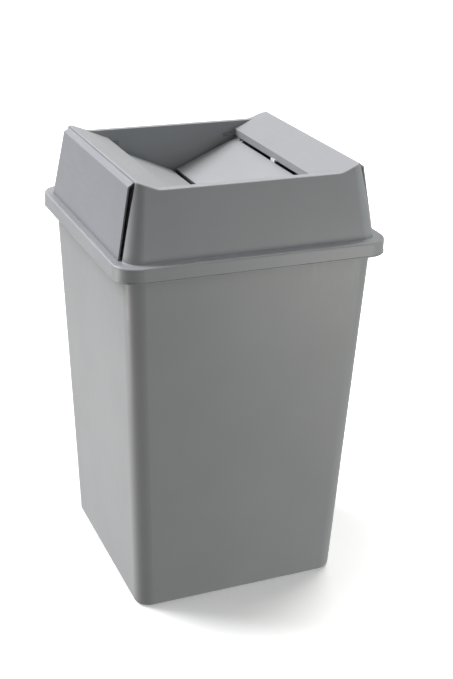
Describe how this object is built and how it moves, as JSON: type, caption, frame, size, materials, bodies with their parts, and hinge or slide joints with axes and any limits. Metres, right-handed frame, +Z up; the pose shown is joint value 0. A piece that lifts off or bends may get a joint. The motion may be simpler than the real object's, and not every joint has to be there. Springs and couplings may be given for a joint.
{
  "type": "commercial trash can",
  "caption": "Square tapered commercial trash can with a lift-off swing top: two inward-swinging counterweighted doors in a sloped hood.",
  "frame": {"origin": "centre of the base on the floor", "axes": "+Z up; +X right and +Y to the back, with the doors hinged at left and right, their axes along Y"},
  "size_m": [0.511, 0.511, 0.8359],
  "materials": {
    "container_plastic": "satin moulded polyethylene",
    "hood_plastic": "satin moulded polyethylene",
    "door_plastic": "satin moulded polyethylene",
    "steel_rod": "drawn steel",
    "zinc_steel": "zinc plated",
    "white_nylon": "moulded nylon",
    "black_plastic": "moulded vinyl"
  },
  "bodies": {
    "container": {"container_body": "container_plastic"},
    "hood": {"hood_frame": "hood_plastic", "side_panel_left": "hood_plastic", "stop_clip_left": "white_nylon", "panel_screws_left": "zinc_steel", "side_panel_right": "hood_plastic", "stop_clip_right": "white_nylon", "panel_screws_right": "zinc_steel", "hinge_pin_back_right": "zinc_steel", "hinge_spacer_back_right": "white_nylon", "hinge_bracket_back_right": "hood_plastic", "bracket_screws_back_right": "zinc_steel", "hinge_pin_back_left": "zinc_steel", "hinge_spacer_back_left": "white_nylon", "hinge_bracket_back_left": "hood_plastic", "bracket_screws_back_left": "zinc_steel", "hinge_pin_front_right": "zinc_steel", "hinge_spacer_front_right": "white_nylon", "hinge_bracket_front_right": "hood_plastic", "bracket_screws_front_right": "zinc_steel", "hinge_pin_front_left": "zinc_steel", "hinge_spacer_front_left": "white_nylon", "hinge_bracket_front_left": "hood_plastic", "bracket_screws_front_left": "zinc_steel"},
    "door_left": {"swing_door_left": "door_plastic", "counterweight_rod_left": "steel_rod", "rod_end_caps_left": "black_plastic"},
    "door_right": {"swing_door_right": "door_plastic", "counterweight_rod_right": "steel_rod", "rod_end_caps_right": "black_plastic"}
  },
  "joints": [
    {"name": "hood_lift", "type": "slide", "parent": "container", "child": "hood", "axis": [0, 0, 1], "range_m": [0, 0.2]},
    {"name": "door_left_swing", "type": "hinge", "parent": "hood", "child": "door_left", "pos_m": [-0.139, 0, 0.78464], "axis": [0, 1, 0], "range_deg": [0, 60]},
    {"name": "door_right_swing", "type": "hinge", "parent": "hood", "child": "door_right", "pos_m": [0.139, 0, 0.78464], "axis": [0, -1, 0], "range_deg": [0, 60]}
  ]
}
